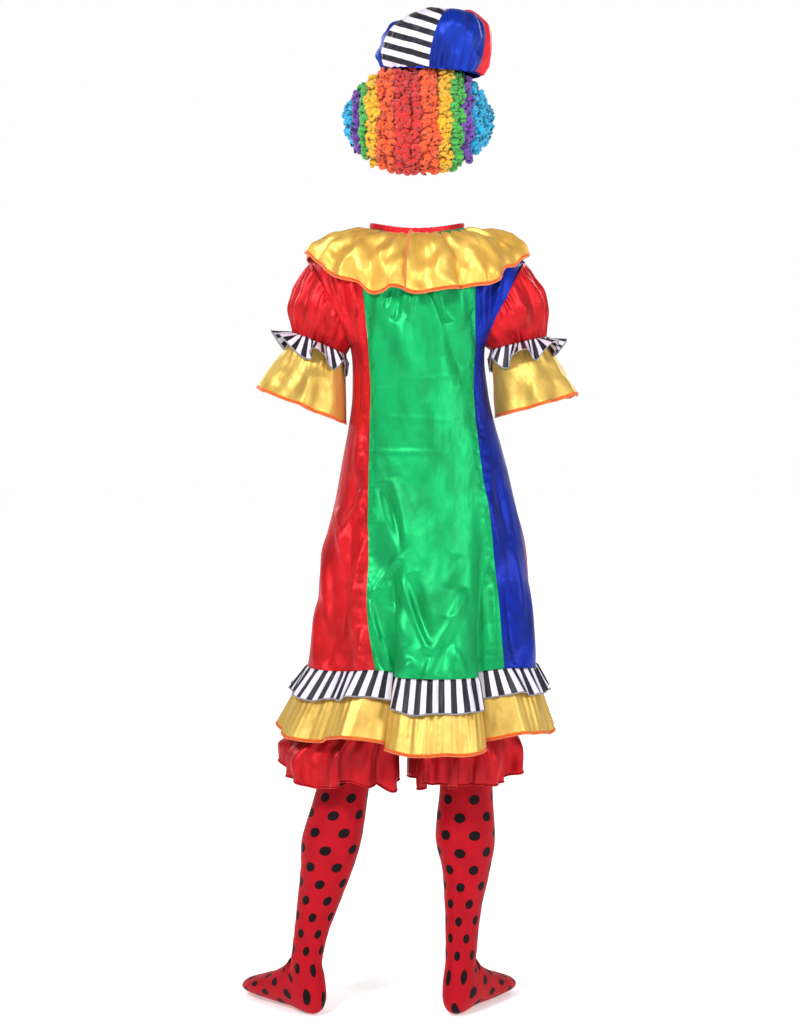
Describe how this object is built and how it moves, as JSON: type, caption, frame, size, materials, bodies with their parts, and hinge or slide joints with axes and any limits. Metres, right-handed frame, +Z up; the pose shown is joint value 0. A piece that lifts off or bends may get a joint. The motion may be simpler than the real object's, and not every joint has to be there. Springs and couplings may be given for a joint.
{
  "type": "clown costume",
  "caption": "Worn clown costume set: flared panel dress with ruffle collar and frilled short sleeves, bloomers, dotted footed stockings, puffy panel cap and curly wig.",
  "frame": {"origin": "in the neck opening of the dress, midway between the shoulders, 1430 mm above the floor that the wearer stands on", "axes": "+Z up, -Y the way the wearer faces, +X to the wearer's left"},
  "size_m": [0.6238, 0.4458, 1.8337],
  "materials": {
    "red_satin": "shiny woven satin",
    "green_satin": "shiny woven satin",
    "blue_satin": "shiny woven satin",
    "gold_satin": "shiny woven satin with a bright orange overlocked edge",
    "striped_satin": "satin with black and white stripes",
    "red_binding": "folded satin tape",
    "dotted_knit": "matt fine knit, red with round black dots",
    "red_curls": "soft curled synthetic fibre",
    "orange_curls": "soft curled synthetic fibre",
    "yellow_curls": "soft curled synthetic fibre",
    "green_curls": "soft curled synthetic fibre",
    "purple_curls": "soft curled synthetic fibre",
    "turquoise_curls": "soft curled synthetic fibre"
  },
  "bodies": {
    "root": {"back_right": "blue_satin", "back_centre": "green_satin", "back_left": "red_satin", "front_left": "blue_satin", "front_centre": "green_satin", "front_right": "red_satin", "neck_binding": "red_binding", "collar": "gold_satin", "sleeve_left": "red_satin", "sleeve_frill_left": "striped_satin", "sleeve_flounce_left": "gold_satin", "sleeve_right": "red_satin", "sleeve_frill_right": "striped_satin", "sleeve_flounce_right": "gold_satin", "hem_frill": "striped_satin", "hem_flounce": "gold_satin", "bloomers_left": "red_satin", "bloomers_right": "red_satin", "stocking_left": "dotted_knit", "stocking_right": "dotted_knit", "cap_striped_back": "striped_satin", "cap_blue_left": "blue_satin", "cap_red_front": "red_satin", "cap_striped_front": "striped_satin", "cap_red_right": "red_satin", "cap_blue_back": "blue_satin", "cap_band": "blue_satin", "wig_blue_right": "turquoise_curls", "wig_purple_right": "purple_curls", "wig_green_right": "green_curls", "wig_yellow_right": "yellow_curls", "wig_orange_right": "orange_curls", "wig_red": "red_curls", "wig_orange_left": "orange_curls", "wig_yellow_left": "yellow_curls", "wig_green_left": "green_curls", "wig_purple_left": "purple_curls", "wig_blue_left": "turquoise_curls"}
  },
  "joints": []
}
